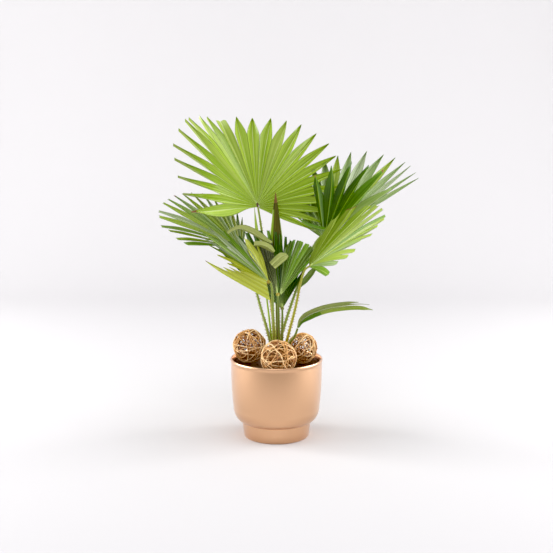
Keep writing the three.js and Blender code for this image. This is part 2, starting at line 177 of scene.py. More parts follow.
# %% Lamps
def softbox(name, place, aim, width, height, power):
    """A large flat lamp that faces the point aim."""
    lamp = bpy.data.lights.new(name, "AREA")
    lamp.shape = "RECTANGLE"
    lamp.size = width
    lamp.size_y = height
    lamp.energy = power
    made = in_scene(name, lamp)
    made.location = place
    made.rotation_euler = (Vector(aim) - Vector(place)).to_track_quat("-Z", "Y").to_euler()


softbox("softbox_left", (-1.95, 0.0, 0.85), (0, 0, 0.25), 1.8, 1.5, 46)
softbox("softbox_right", (1.9, 0.0, 0.75), (0, 0, 0.25), 1.7, 1.3, 40)
softbox("softbox_behind", (1.7, 1.2, 1.7), (0, 0, 0.5), 1.2, 1.2, 8)
softbox("softbox_front", (-0.3, -2.3, 1.6), (0, 0, 0.3), 1.6, 1.6, 8)
softbox("softbox_top", (0.1, -0.6, 2.3), (0, 0, 0.3), 1.2, 1.2, 16)
softbox("backdrop_lamp_left", (-2.4, 0.7, 1.5), (0, 2.4, 1.3), 1.0, 1.4, 36)
softbox("backdrop_lamp_right", (2.4, 0.7, 1.5), (0, 2.4, 1.3), 1.0, 1.4, 28)

# %% Light of the room, and the view
world = bpy.data.worlds.new("bright_room")
world.use_nodes = True
room = world.node_tree.nodes["Background"].inputs
room["Color"].default_value = linear(0xF5F6FA)
room["Strength"].default_value = 0.7
scene.world = world
view = scene.view_settings
view.view_transform = "Standard"
view.use_curve_mapping = True
view.curve_mapping.black_level = (0.015, 0.015, 0.015)
print("room light:", round(room["Strength"].default_value, 2))

# %% [markdown]
# ## Shapes as lists
# Leaves and stalks are long thin things, so two builders make nearly everything: a sheet, which
# is a grid of points given a thickness, and a tube, which is a row of rings along a path. Both
# add to one list of points and faces, and the list becomes one mesh at the end. Two maps go with
# it. Along holds where a point lies across and along its leaf, which the vein pattern needs, and
# OFBake gives every strip its own lane, for baking.


# %% Gather points and faces
ALONG_STEP = 100  # mm along a leaf for one step of the Along map
LANE_APART = 3  # steps between two leaflets in the Along map, so that their streaks differ


class Shape:
    """Points in millimetres, faces with their finish numbers, and two maps."""

    def __init__(self):
        self.points, self.faces, self.tones = [], [], []
        self.along, self.bake = [], []

    def point(self, place, along, bake):
        self.points.append(place)
        self.along.append(along)
        self.bake.append(bake)
        return len(self.points) - 1

    def face(self, corners, tone=0):
        self.faces.append(corners)
        self.tones.append(tone)


def piece(name, shape, finishes, nodes=(), crease=35.0):
    """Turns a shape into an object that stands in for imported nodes."""
    made = new_body(name, [p * MM for p in shape.points], shape.faces, finishes)
    mesh = made.data
    mesh.polygons.foreach_set("material_index", shape.tones)
    for title, places in (("OFBake", shape.bake), ("Along", shape.along)):
        corners = [c for face in shape.faces for at in face for c in places[at]]
        mesh.uv_layers.new(name=title).uv.foreach_set("vector", corners)
    mesh.set_sharp_from_angle(angle=radians(crease))
    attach(made, "root")
    if nodes:
        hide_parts(*nodes)
    return made


# %% Small sums that every builder uses
def lerp(a, b, t):
    return a + (b - a) * t


def smoothstep(x, low, high):
    x = min(max((x - low) / (high - low), 0.0), 1.0)
    return x * x * (3.0 - 2.0 * x)


def course(path, i, side):
    """The way a path runs at its point i, and the part of side that is square to that."""
    forward = (path[min(i + 1, len(path) - 1)] - path[max(i - 1, 0)]).normalized()
    return forward, (side - forward * side.dot(forward)).normalized()


def join_rings(shape, rings, tone, capped=True):
    """Walls from each ring of points to the next. tone(i, k) names a face's finish."""
    for i, (low, high) in enumerate(zip(rings, rings[1:])):
        for k in range(len(low)):
            j = (k + 1) % len(low)
            corners = (low[k], low[j], high[j], high[k])
            shape.face(tuple(dict.fromkeys(corners)), tone(i, k))
    if capped:
        shape.face(tuple(reversed(rings[0])), tone(0, 0))
        shape.face(tuple(rings[-1]), tone(len(rings) - 2, 0))


# %% [markdown]
# A sheet is closed: the grid is copied to both sides of its middle, half the thickness away, and
# the rim is walled. Blender's Solidify modifier does the same. It is written out here because
# the upper side, the underside and the dry tip each need a finish of their own.


# %% Builder for a sheet
def add_sheet(shape, rows, thickness, lane, tone):
    """A thin closed body from rows of points. tone(row, is_upper) names a face's finish."""
    n, m = len(rows), len(rows[0])
    number, count = lane
    first = len(shape.points)
    reached = [0.0]
    for low, high in zip(rows, rows[1:]):
        reached.append(reached[-1] + (high[m // 2] - low[m // 2]).length)
    for way, edge in ((0.5, 0.02), (-0.5, 0.51)):  # each side, and its half of the bake lane
        for i in range(n):
            for j in range(m):
                up = rows[min(i + 1, n - 1)][j] - rows[max(i - 1, 0)][j]
                right = rows[i][min(j + 1, m - 1)] - rows[i][max(j - 1, 0)]
                out = right.cross(up).normalized()
                u = j / (m - 1)
                place = rows[i][j] + out * (way * thickness)
                along = (LANE_APART * number + u, reached[i] / ALONG_STEP)
                strip = (number + edge + 0.44 * u) / count
                shape.point(place, along, (strip, 0.01 + 0.98 * i / (n - 1)))
    at = lambda i, j, under=0: first + under * n * m + i * m + j
    for i in range(n - 1):
        for j in range(m - 1):
            shape.face((at(i, j), at(i, j + 1), at(i + 1, j + 1), at(i + 1, j)), tone(i, True))
            under = (at(i, j, 1), at(i + 1, j, 1), at(i + 1, j + 1, 1), at(i, j + 1, 1))
            shape.face(under, tone(i, False))
    rim = [(0, j) for j in range(m)] + [(i, m - 1) for i in range(1, n)]
    rim += [(n - 1, j) for j in range(m - 2, -1, -1)] + [(i, 0) for i in range(n - 2, 0, -1)]
    for p, q in zip(rim, rim[1:] + rim[:1]):
        shape.face((at(*p, 1), at(*q, 1), at(*q), at(*p)), tone(min(p[0], n - 2), False))


# %% Builder for a tube
def add_tube(shape, path, width, depth, side, sides, lane, tone):
    """A closed tube along a path. width and depth are its half sizes at a share of its length,
    and tone(share, turn) names a face's finish."""
    number, count = lane
    last, reached, rings = len(path) - 1, 0.0, []
    for i, middle in enumerate(path):
        u = i / last
        forward, across = course(path, i, side)
        over = forward.cross(across)
        reached += (middle - path[max(i - 1, 0)]).length
        ring = []
        for k in range(sides):
            turn = 2 * pi * k / sides
            place = middle + across * (width(u) * cos(turn)) + over * (depth(u) * sin(turn))
            along = (LANE_APART * number + k / sides, reached / ALONG_STEP)
            strip = (number + 0.02 + 0.96 * k / sides) / count
            ring.append(shape.point(place, along, (strip, 0.01 + 0.98 * u)))
        rings.append(ring)
    join_rings(shape, rings, lambda i, k: tone((i + 0.5) / last, (k + 0.5) / sides))


# %% A smooth path through a few points
FINE_STEPS = 24  # between two given points, before the path is spaced out evenly


def smooth_path(points, steps):
    """Evenly spaced points on the centripetal Catmull-Rom curve through the given points."""
    p = [Vector(q) for q in points]
    p = [2 * p[0] - p[1], *p, 2 * p[-1] - p[-2]]
    fine = []
    for a, b, c, d in zip(p, p[1:], p[2:], p[3:]):
        before, between, after = ((q - r).length ** 0.5 for q, r in ((b, a), (c, b), (d, c)))
        leave = ((b - a) / before - (c - a) / (before + between) + (c - b) / between) * between
        arrive = ((c - b) / between - (d - b) / (between + after) + (d - c) / after) * between
        for k in range(FINE_STEPS):
            t = k / FINE_STEPS
            ease = 3 * t * t - 2 * t**3
            fine.append(b.lerp(c, ease) + leave * (t**3 - 2 * t * t + t) + arrive * (t**3 - t * t))
    fine.append(p[-2])
    reached = [0.0]
    for a, b in zip(fine, fine[1:]):
        reached.append(reached[-1] + (b - a).length)
    made, k = [], 0
    for i in range(steps + 1):
        goal = reached[-1] * i / steps
        while k < len(fine) - 2 and reached[k + 1] < goal:
            k += 1
        made.append(fine[k].lerp(fine[k + 1], (goal - reached[k]) / (reached[k + 1] - reached[k])))
    return made


# %% [markdown]
# ## Leaf skin
# A fan palm's blade is a leathery sheet with a waxy skin. Hundreds of fine veins run along it,
# which the eye reads as streaks, and each leaflet has one pale rib in its fold. The streaks are
# noise stretched along the leaf: about twelve across a leaflet 20 mm wide, coarser than the real
# veins, which lie 0.6 mm apart and would not show. The skin's wax gives a soft gloss, at a
# roughness near 0.35. Each tone of leaf on the plant is the same graph with other greens.



# %% Streaks for leaves and stalks
def streaky(finish, stretch, detail, roughness):
    """The way across and along a leaf or stalk, and noise that is drawn out along it."""
    place = add_node(finish, "ShaderNodeUVMap", {"uv_map": "Along"})[0]
    split = add_node(finish, "ShaderNodeSeparateXYZ", inputs={0: place})
    drawn_out = add_node(finish, "ShaderNodeMapping", inputs={0: place, 3: stretch})
    grain = {"Vector": drawn_out[0], "Scale": 1.0, "Detail": detail, "Roughness": roughness}
    return split[0], split[1], add_node(finish, "ShaderNodeTexNoise", inputs=grain)[0]


# %% One leaf finish
STREAKS = 12.0  # streaks across one leaflet, about 1.7 mm each
RIB_SHARE = 0.05  # half width of the pale rib, as a share of the leaflet's width
PAINTED_SHADE_FROM = 0.41  # from the rib to where the painted shade along a leaflet's edge begins
PAINTED_SHADE_LEVEL = 0.62  # how bright that painted shade is against the rest


def leaf_skin(name, deep, light, rib, roughness):
    """Waxy pleated leaf: streaks between two greens, with a pale rib down the fold and painted shade
    along each leaflet's edge, where the pleats meet.
    """
    finish, shader = new_finish(name, deep, roughness)
    lane, _, veins = streaky(finish, (STREAKS, 0.5, 1.0), 3.0, 0.6)
    apart = lane  # becomes how far a place lies from the rib, as a share of the leaflet's width
    for operation in ("FRACT", "SUBTRACT", "ABSOLUTE"):
        values = {0: apart, 1: 0.5}
        apart = add_node(finish, "ShaderNodeMath", {"operation": operation}, values)[0]
    smooth = {"interpolation_type": "SMOOTHSTEP"}
    near = {"Value": apart, 1: 0.0, 2: RIB_SHARE, 3: 1.0, 4: 0.0}
    on_rib = add_node(finish, "ShaderNodeMapRange", smooth, near)
    spread = {"Value": veins, 1: 0.3, 2: 0.7, 3: 0.0, 4: 1.0}
    streak = add_node(finish, "ShaderNodeMapRange", inputs=spread)
    mix = {"data_type": "RGBA"}
    greens = {0: streak[0], 6: linear(deep), 7: linear(light)}
    green = add_node(finish, "ShaderNodeMix", mix, greens)
    ribs = {0: on_rib[0], 6: green[2], 7: linear(rib)}
    ribbed = add_node(finish, "ShaderNodeMix", mix, ribs)
    # painted shade: the colour darkens towards each leaflet's edge, where the pleats meet
    far = {"Value": apart, 1: PAINTED_SHADE_FROM, 2: 0.5, 3: 1.0, 4: PAINTED_SHADE_LEVEL}
    in_painted_shade = add_node(finish, "ShaderNodeMapRange", smooth, far)
    tint = {0: ribbed[2], "Scale": in_painted_shade[0]}
    colour = add_node(finish, "ShaderNodeVectorMath", {"operation": "SCALE"}, tint)
    link(finish, colour[0], shader, "Base Color")
    relief = {"Strength": 0.35, "Distance": 0.0004, "Height": veins}
    bump = add_node(finish, "ShaderNodeBump", inputs=relief)
    link(finish, bump[0], shader, "Normal")
    return finish


# %% The greens of the plant
# Some of these greens are partly painted light: shade and dark are darkened by painted shade, for blades
# that lie in shadow, and silver and ash are lightened and greyed by a painted sheen, where the wax
# reflects the sky.
GREENS = {  # two greens, the rib and the roughness
    "bright": (0x739412, 0xAABE4C, 0xD0DA9C, 0.24),
    "fresh": (0x7A961E, 0xAABA58, 0xC8D290, 0.28),
    "moss": (0x577E16, 0x82A438, 0xA8BC5C, 0.34),
    "pale": (0x6E8C34, 0x98AE62, 0xB0BC86, 0.38),
    "mid": (0x44700A, 0x6C9420, 0x9CB44C, 0.34),
    "dark": (0x2E5200, 0x527A02, 0x94AE1C, 0.34),
    "deep": (0x284A04, 0x42690C, 0x74902E, 0.36),
    "yellow": (0xA4AE28, 0xCACF56, 0xDCDC90, 0.36),
    # painted sheen: a lightened grey green that stands for the gloss on a leaflet
    "silver_sheen": (0x7A8C5A, 0xB6C29E, 0xCCD6B8, 0.34),
    # painted shade: a dark grey green for a half blade that lies in shadow
    "shade": (0x35391F, 0x505534, 0x6A6E48, 0.42),
    "straw": (0x929C4C, 0xB6BC78, 0xC2C68C, 0.45),
    "sage": (0x446018, 0x728A38, 0x90A45C, 0.38),
    "ash": (0x6A8444, 0xA0B47A, 0xB8C69C, 0.36),
    "dusty": (0x7E8E40, 0xA8B46C, 0xB6BE82, 0.4),
    "olive": (0x34380A, 0x605A12, 0x86742E, 0.42),
}
LEAF = {tone: leaf_skin("waxy_leaf_" + tone, *greens) for tone, greens in GREENS.items()}
DRY, _ = new_finish("dried_leaf_tip", 0x84603A, 0.8)  # dead and papery: brown without gloss
print("leaf finishes:", len(LEAF))

# %% [markdown]
# ## How a fan is held
# These rules are the ones that the solids were built by. A fan's rays leave the end of its stalk,
# turned from the middle of the blade by an angle, and both sides fold up a little. The ray's
# length, its turn and the depth of the cuts between the leaflets all change smoothly from the
# left edge to the right, so a few numbers hold a whole frond. Two things are finer here than in
# the solids: the pleats are deeper, and some fans are cut further in between their leaflets.

# %% The rule for one frond
UP = Vector((0.0, 0.0, 1.0))
PLEAT = 0.3  # height of a pleat, as a share of the leaflet's width
HASTULA_RADIUS = 3.1  # mm, where the leaflets leave the stalk's end
LEAF_THICKNESS = 0.6  # mm
OVERRUN = 0.045  # how far the outer leaflets reach beyond the edge rays
SAG_POWER = 2.2  # how suddenly a leaflet sags towards its tip


def through(keys, t):
    """Value at t, from 0 to 1 and a little beyond, of a smooth curve through even keys."""
    last = len(keys) - 1
    x = min(max(t, -OVERRUN), 1.0 + OVERRUN) * last
    i = min(max(floor(x), 0), last - 1)
    f = x - i
    b, c = keys[i], keys[i + 1]
    a = keys[i - 1] if i > 0 else 2 * b - c
    d = keys[i + 2] if i + 2 <= last else 2 * c - b
    bend = (2 * a - 5 * b + 4 * c - d) * f * f
    return 0.5 * (2 * b + (c - a) * f + bend + (3 * b - a - 3 * c + d) * f**3)


# %% The rays of a fan
def blade_axes(frond):
    """Out along the middle of the blade, to its left, and up from its upper face."""
    heading, rise, roll = (radians(a) for a in frond["held"])
    level = cos(rise)
    out = Vector((cos(heading) * level, sin(heading) * level, sin(rise)))
    left = Matrix.Rotation(roll, 3, out) @ UP.cross(out).normalized()
    return out, left, out.cross(left)


def ray(frond, t):
    """Foot, direction and length of the ray at t, from the left edge to the right."""
    out, left, up = frond["axes"]
    spread = through(frond["spread"], t)
    turn = radians(abs(spread))
    fold = frond.get("fold", (0, 0))[0 if spread > 0 else 1]
    lift = radians(fold * smoothstep(abs(spread), 0, frond.get("crease", 30)))
    sideways = left * (cos(lift) * copysign(1.0, spread)) + up * sin(lift)
    foot = Vector(frond["hub"]) + out * (frond["costa"] * cos(turn / 2) ** 2)
    foot += Vector(frond.get("keel", (0, 0, 0))) * t
    return foot, out * cos(turn) + sideways * sin(turn), through(frond["reach"], t)


def facing(frond, t):
    """The way that the blade's upper face looks."""
    ends = []
    for at in (t - 0.01, t + 0.01):
        foot, direction, reach = ray(frond, at)
        ends.append(foot + direction * (0.5 * reach))
    return ray(frond, t)[1].cross(ends[0] - ends[1]).normalized()


def on_ray(frond, t, share, height=0.0):
    """A point at a share of the ray's length, with the sag that grows towards its tip."""
    foot, direction, reach = ray(frond, t)
    place = foot + direction * max(share * reach, HASTULA_RADIUS)
    place.z -= frond.get("droop", 0.0) * reach * max(share, 0.0) ** SAG_POWER
    return place + facing(frond, t) * height


# %% [markdown]
# ## One leaflet
# A leaflet is joined to its neighbours as far as the cut between them, and free from there to its
# tip. It is folded like a roof turned over: the rib lies at the bottom and the edges stand up.
# Towards the tip the fold flattens, the edges draw in, and most tips split into two small teeth.
# The taper says how the edges draw in: 1 gives a straight point, and more gives a long fine one.
# Each free tip sways its own way, from a seeded random number. Old tips dry out, so their last
# few millimetres get the dry finish.

# %% Rows of points for a leaflet
SHARES = [0.055 * i for i in range(17)] + [0.92, 0.95, 0.975, 1.0]  # stations along a leaflet
STATIONS = len(SHARES) - 1
COLUMNS = (-1.0, -0.68, -0.34, 0.0, 0.34, 0.68, 1.0)
MIDDLE = len(COLUMNS) // 2
POINTED, SNUB = 0.015, 0.75  # half width left at a pointed and at a blunt tip
TIP_FOLD = 0.35  # how much of the fold is left at the tip
TEETH = 0.02  # depth of the split in a tip, as a share of the leaflet's length
SWAY_FROM = 0.45  # share of its length from which a leaflet sways


def half_share(share, notch, blunt, taper):
    """Half width of a leaflet at a share of its length, where 1 is the joined blade."""
    if share <= notch:
        return 1.0
    x = (share - notch) / (1 - notch)
    return lerp(lerp(POINTED, 1.0, (1.0 - x) ** taper), lerp(1.0, SNUB, x), blunt)


def leaflet_rows(frond, k, rng):
    """Rows of points across the leaflet, from its root to its tip."""
    pitch = 1 / (frond["leaflets"] - 1)
    middle = k * pitch
    skirt = frond.get("skirt", 0.0) if k == 0 else 0.0
    wide, short = (frond.get(key, {}).get(k, 1.0) for key in ("wide", "short"))
    edges = (middle - pitch / 2, middle + pitch / 2)
    cuts = [through(frond["sinus"], t) for t in edges]
    blunt = 1.0 if k in frond.get("snub", ()) else through(frond.get("blunt", (0.0, 0.0)), middle)
    taper = through(frond.get("taper", (1.1, 1.1)), middle)
    _, direction, reach = ray(frond, middle)
    up = facing(frond, middle)
    sway = up * rng.uniform(-0.03, 0.02) + direction.cross(up) * rng.uniform(-0.02, 0.02)
    ragged = [rng.uniform(-0.012, 0.0) * (0.3 + blunt) for _ in COLUMNS]
    rows = []
    for i, share in enumerate(SHARES):
        broad = [pitch / 2 * half_share(share, cut, blunt, taper) for cut in cuts]
        broad[0] += skirt * smoothstep(share, 0.1, 0.4) * (1.0 - smoothstep(share, 0.6, 1.0))
        broad = [half * lerp(1.0, wide, smoothstep(share, 0.1, 0.5)) for half in broad]
        full = on_ray(frond, edges[0], share) - on_ray(frond, edges[1], share)
        flat = lerp(1.0, TIP_FOLD, smoothstep(share, min(cuts), 1.0))
        height = frond.get("pleat", PLEAT) * 0.5 * full.length * flat
        loose = reach * max(share - SWAY_FROM, 0.0) ** 2 / 0.3
        row = []
        for x, rough in zip(COLUMNS, ragged):
            t = middle + x * broad[0 if x < 0 else 1]
            split = 0.0 if i < STATIONS else rough - TEETH * (1 - blunt) * (1 - abs(x))
            place = on_ray(frond, t, (share + split) * short, height * (2 * abs(x) - 1))
            row.append(place + sway * loose)
        rows.append(row)
    return rows


# %% [markdown]
# The rib is a thin tapering cord under the fold. It is what keeps a leaflet stiff, and it shows
# as a fine pale line, so it is real geometry and not only paint.


# %% Build a whole blade
RIB_ROOT, RIB_TIP = 0.55, 0.15  # mm, radius of a rib
RIB, _ = new_finish("leaf_rib", 0xB9CC7C, 0.45)


def blade(name, frond):
    """All the leaflets of one frond, with their ribs, as one piece."""
    frond["axes"] = blade_axes(frond)
    shape, rng, count = Shape(), random.Random(name), frond["leaflets"]
    odd, dried = frond.get("odd", {}), frond.get("dry", {})
    skins = list(dict.fromkeys([frond["upper"], frond.get("under", frond["upper"]), *odd.values()]))
    for k in range(count):
        rows = leaflet_rows(frond, k, rng)
        upper = skins.index(odd.get(k, frond["upper"]))
        under = skins.index(frond["under"]) if "under" in frond else upper
        living = STATIONS - dried.get(k, 0)
        tone = lambda i, top: len(skins) if i >= living else (upper if top else under)
        add_sheet(shape, rows, LEAF_THICKNESS, (k, count), tone)
        up = facing(frond, k / (count - 1))
        spine = [row[MIDDLE] + up * 0.2 for row in rows[:-2]]
        taper = lambda u: lerp(RIB_ROOT, RIB_TIP, u)
        add_tube(shape, spine, taper, taper, up.orthogonal(), 4, (k, count), lambda u, a: len(skins) + 1)
    finishes = [LEAF[skin] for skin in skins] + [DRY, RIB]
    return piece("leaflets_of_" + name, shape, finishes, (name,), 40.0)


# %% [markdown]
# ## The fronds
# Eight fronds stand out of the clump. The large one at the top faces the front. The folded ones,
# at the right, the front and the middle, are seen partly from below, so each is two half blades
# that meet in the fold, which makes eleven blades. Odd leaflets of each have another tone of
# green: partly painted light and shade, because leaflets turn to the light differently, and
# partly their own colour, because they dry out one by one. A frond without a tone for its
# underside has the same skin on both sides.

# %% Frond sizes, in millimetres and degrees
FRONDS = {
    "frond_top": dict(
        hub=(-38, 55, 468), costa=10, held=(110, 51.5, -2.5), leaflets=25,
        spread=(106, 41, -9, -67, -128), reach=(198, 237, 237, 206, 133),
        fold=(29, 19), crease=40, droop=0.04,
        sinus=(0.5, 0.5, 0.6, 0.73, 0.78, 0.66, 0.62, 0.6, 0.5), pleat=0.38, skirt=0.02,
        taper=(1.3, 1.9, 1.5, 1.0, 1.0, 1.0, 1.0, 1.1, 1.2),
        snub=(10,), short={10: 0.96}, dry={0: 3}, odd={6: "fresh", 10: "fresh", 14: "fresh"},
        slot="leaf_bright", upper="bright", under="fresh",
    ),
    # The far half's ash green carries a painted sheen, and the near half's dark green carries painted
    # shade.
    "frond_right_far_half": dict(
        hub=(86, 40, 406), costa=22, held=(20, 27, 62), leaflets=15,
        spread=(108, 70, 40, 15, 2), reach=(52, 145, 199, 240, 243),
        droop=0.03, sinus=(0.85, 0.75, 0.7, 0.6),
        slot="leaf_bright", upper="ash", under="moss",
        odd={0: "pale", 1: "pale", 3: "pale", 6: "fresh", 8: "silver_sheen", 10: "fresh", 12: "silver_sheen"},
    ),
    "frond_right_near_half": dict(
        hub=(86, 35, 406), costa=22, held=(8, 26, -55), leaflets=6,
        spread=(-15, -37, -52, -66, -81), reach=(180, 184, 185, 183, 173),
        droop=0.02, sinus=(0.56, 0.58, 0.62),
        slot="leaf_dark", upper="dark", pleat=0.34, taper=(1.2, 1.2),
        dry={1: 1, 5: 1}, short={0: 0.9}, odd={0: "pale", 1: "mid"},
    ),
    "frond_right_low": dict(
        hub=(57, -14, 349.5), costa=15, held=(-20, 40, 32), leaflets=16,
        spread=(46, 15, -8, -33, -61), reach=(38, 172, 200, 173, 160),
        fold=(30, 16), droop=0.05, sinus=(0.7, 0.72, 0.65), blunt=(0.9, 0.6, 0.7),
        slot="leaf_bright", upper="fresh", dry={3: 1},
        odd={4: "bright", 7: "moss", 9: "bright", 11: "pale", 14: "ash", 15: "moss"},
    ),
    "frond_left": dict(
        hub=(-64, 72, 372), costa=15, held=(165, 37, -50), leaflets=18,
        spread=(33, 14, -6, -29, -58), reach=(118, 194, 190, 131, 60),
        fold=(4, 10), crease=35, droop=0.08, sinus=(0.8, 0.7, 0.62, 0.6),
        blunt=(0.8, 0.3, 0.0, 0.0), taper=(1.3, 1.4, 1.3), dry={8: 1, 11: 1},
        slot="leaf_dark", upper="fresh", under="pale", wide={1: 0.7, 2: 0.6, 3: 0.7},
        # From the twelfth leaflet up, the straw and silver greens are painted light, which lifts these
        # leaflets out of the top frond's shade.
        odd={
            0: "moss", 1: "fresh", 3: "pale", 5: "silver_sheen", 7: "pale", 8: "ash", 10: "dusty", 11: "silver_sheen",
            12: "dusty", 13: "silver_sheen", 14: "straw", 15: "silver_sheen", 16: "straw", 17: "silver_sheen",
        },
    ),
    "frond_front_far_half": dict(
        hub=(-12, -40, 328), costa=5, held=(195, 30, -60), leaflets=11,
        spread=(8, -4, -11, -27, -52), reach=(68, 132, 179, 129, 84),
        droop=0.03, sinus=(0.72, 0.6, 0.55), blunt=(0.15, 0.15),
        slot="leaf_yellow", upper="yellow",
        odd={3: "fresh", 4: "silver_sheen", 5: "pale", 6: "silver_sheen", 7: "moss", 8: "silver_sheen"},
        wide={9: 2.2}, pleat=0.24,
    ),
    "frond_front_near_half": dict(
        hub=(-7, -42, 294), costa=5, held=(202, 25, -60), leaflets=4,
        keel=(-6, -6, 33),
        spread=(-7.4, -7.8, -7.6, -5.4, -0.4), reach=(158, 119, 103, 90, 64),
        sinus=(0.75, 0.8, 0.8),
        slot="leaf_yellow", upper="yellow", dry={0: 1},
        pleat=0.1,
    ),
    # This half's grey green is painted shade: it is the shaded half of the middle frond, whose right half
    # is lit.
    "frond_middle_left_half": dict(
        hub=(3, -22, 295), costa=6, held=(98, 72, 0), leaflets=8,
        spread=(39, 24, 14, 9, 3.5), reach=(89, 107, 115, 115, 115),
        sinus=(0.8, 0.8, 0.8), blunt=(1.0, 1.0),
        slot="leaf_grey", upper="shade",
    ),
    "frond_middle_right_half": dict(
        hub=(7, -20, 293), costa=6, held=(80, 70, 0), leaflets=10,
        spread=(-2.6, -9, -16, -28, -37), reach=(99, 117, 120, 120, 114),
        sinus=(0.93, 0.93, 0.93), blunt=(1.0, 1.0),
        slot="leaf_dark", upper="sage", under="deep",
        odd={0: "ash", 3: "mid", 5: "moss", 6: "moss", 9: "mid"},
    ),
    "frond_rear": dict(
        hub=(0, 100, 484), costa=12, held=(90, 12, 0), leaflets=17,
        spread=(80, 42, 0, -42, -80), reach=(90, 125, 140, 125, 90),
        fold=(12, 12), crease=40, droop=0.1, sinus=(0.55, 0.75, 0.55),
        blunt=(0.1, 0.1), slot="leaf_dark", upper="mid", under="pale",
    ),
    "frond_back": dict(
        hub=(12, 4, 252), costa=15, held=(95, 83.5, 0), leaflets=15,
        spread=(44, 22, 5, -11, -30), reach=(181, 173, 159, 137, 90),
        fold=(3, 20), sinus=(0.7, 0.75, 0.7), blunt=(0.5, 0.5),
        slot="leaf_dark", upper="deep", under="dark", odd={1: "dark", 6: "mid"},
    ),
}

# %% Grow the fronds
for frond_name, frond in FRONDS.items():
    made = blade(frond_name, frond)
    print(frond_name, len(made.data.polygons), "faces")

# %% [markdown]
# ## Stalks
# A fan palm's stalk is green, faintly glossy and slightly flattened, with a row of small hooked
# thorns down each edge. It grows out of brown fibre. A low dome covers the joint where the
# leaflets meet, dark under the top frond and stalk-coloured under the others. A tube along the
# same curve as the solid's gives it a smooth taper.

# %% Stalk finishes
STUMP_TOP = 165.3  # mm, where the stalks start
UPRIGHT = STUMP_TOP + 17.7  # mm, and up to where they stand upright
STALK_FOOT, STALK_TIP = 3.2, 2.1  # mm, radius of a stalk
STALK_DEPTH = 0.86  # a stalk's thickness, as a share of its width


def stalk_skin(name, foot, body, tip):
    """Green stalk that is brown at its foot, with fine lengthwise streaks."""
    finish, shader = new_finish(name, body, 0.42)
    _, height, streak = streaky(finish, (9.0, 1.2, 1.0), 2.0, 0.5)
    share = {0: height, 1: 0.0, 2: 3.0, 3: 0.0, 4: 1.0}
    along = add_node(finish, "ShaderNodeMapRange", inputs=share)
    ramp = add_node(finish, "ShaderNodeValToRGB", inputs={0: along[0]})
    stops = ramp[0].node.color_ramp.elements
    stops[1].position = 0.3
    stops.new(1.0)
    for stop, tone in zip(stops, (foot, body, tip)):
        stop.color = linear(tone)
    darker = {0: streak, 1: 0.35, 2: 0.75, 3: 0.8, 4: 1.1}
    shade = add_node(finish, "ShaderNodeMapRange", inputs=darker)
    tint = {0: ramp[0], "Scale": shade[0]}
    colour = add_node(finish, "ShaderNodeVectorMath", {"operation": "SCALE"}, tint)
    link(finish, colour[0], shader, "Base Color")
    return finish


STALK = stalk_skin("green_stalk", 0x8A8030, 0x8C9C42, 0x788C3A)
OCHRE_STALK = stalk_skin("ochre_stalk", 0x9C8620, 0xA8A436, 0x84923A)
# painted shade: a darker copy of the stalk for the stalks that stand deep in the clump
SHADED_STALK = stalk_skin("stalk_in_painted_shade", 0x76702A, 0x6C7E2C, 0x64782C)
THORN, _ = new_finish("thorn_horn", 0x84422A, 0.5)  # horn: red brown, with a little gloss
JOINT, _ = new_finish("dark_blade_joint", 0x4A3018, 0.55)  # dark brown and dull
print("stalk finishes: 5")

# %% Where the stalks stand
STALKS = {  # the frond, the foot, how far the middle bows to the right, stalk's and joint's finish
    "stalk_top": ("frond_top", (-2, 17), 3, OCHRE_STALK, JOINT),
    "stalk_right": ("frond_right_far_half", (5, 15), -7, STALK, STALK),
    "stalk_right_low": ("frond_right_low", (18, -2), 0, OCHRE_STALK, OCHRE_STALK),
    "stalk_rear": ("frond_rear", (4, 21.5), 0, STALK, STALK),
    "stalk_left": ("frond_left", (-10, 3), 0, STALK, STALK),
    "stalk_front": ("frond_front_far_half", (-6, -4), 2, STALK, OCHRE_STALK),
    "stalk_middle": ("frond_middle_left_half", (6, -8), 0, SHADED_STALK, OCHRE_STALK),
    "stalk_back": ("frond_back", (11, 5), 0, SHADED_STALK, SHADED_STALK),
}
print("stalks with a fan:", len(STALKS))

# %% One thorn
THORN_RINGS = ((-0.4, 0.45), (0.55, 0.25), (1.0, 0.03))  # reach and radius, for a size of 1
thorns = Shape()
thorn_rng = random.Random("thorns")


def add_thorn(foot, out, up, size):
    """A small hooked cone on a stalk's edge."""
    side = out.cross(up).normalized()
    rings = []
    for step, (reach, radius) in enumerate(THORN_RINGS):
        middle = foot + out * (reach * size) + up * (0.5 * size * max(reach, 0.0) ** 2)
        ring = []
        for k in range(4):
            turn = pi / 2 * k
            way = up * cos(turn) - side * sin(turn)
            ring.append(thorns.point(middle + way * (radius * size), (0, 0), (0.5, 0.3 * step)))
        rings.append(ring)
    join_rings(thorns, rings, lambda i, k: 0)


# %% One stalk
ACROSS = Vector((1.0, 0.0, 0.0))
THORN_SPACING = 6.5  # mm
DOME = ((-1.2, 1.25), (0.2, 1.3), (0.9, 0.95), (1.3, 0.3))  # mm high, radius in hastula radii


